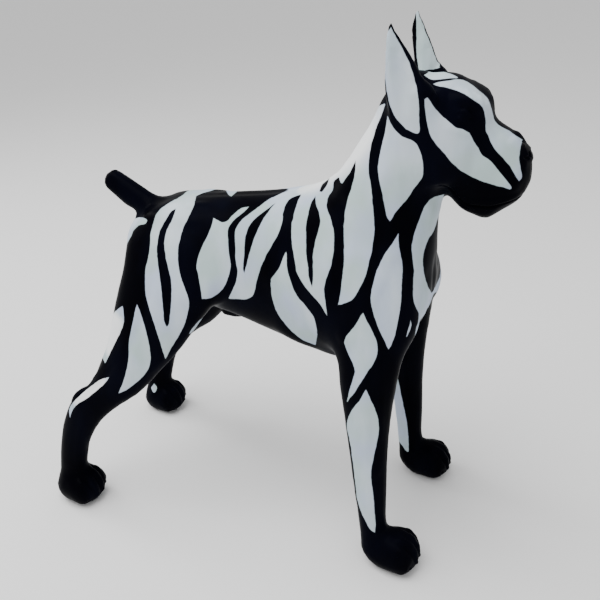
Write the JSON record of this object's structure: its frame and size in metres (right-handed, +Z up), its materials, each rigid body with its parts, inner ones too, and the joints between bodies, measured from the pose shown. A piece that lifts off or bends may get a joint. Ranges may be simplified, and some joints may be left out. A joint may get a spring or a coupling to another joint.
{
  "type": "dog statue",
  "caption": "Life-size resin statue of a standing boxer-type dog with pointed ears and a short tail, painted in black and white zebra stripes, standing on its own flat paws.",
  "frame": {"origin": "on the ground, at the bottom centre of the statue's bounding box", "axes": "+X the way the dog faces, +Y its left side, +Z up"},
  "size_m": [0.783, 0.379, 0.8311],
  "materials": {
    "painted_resin": "satin paint on cast resin, pale grey stripes on black"
  },
  "bodies": {
    "root": {"dog": "painted_resin"}
  },
  "joints": []
}
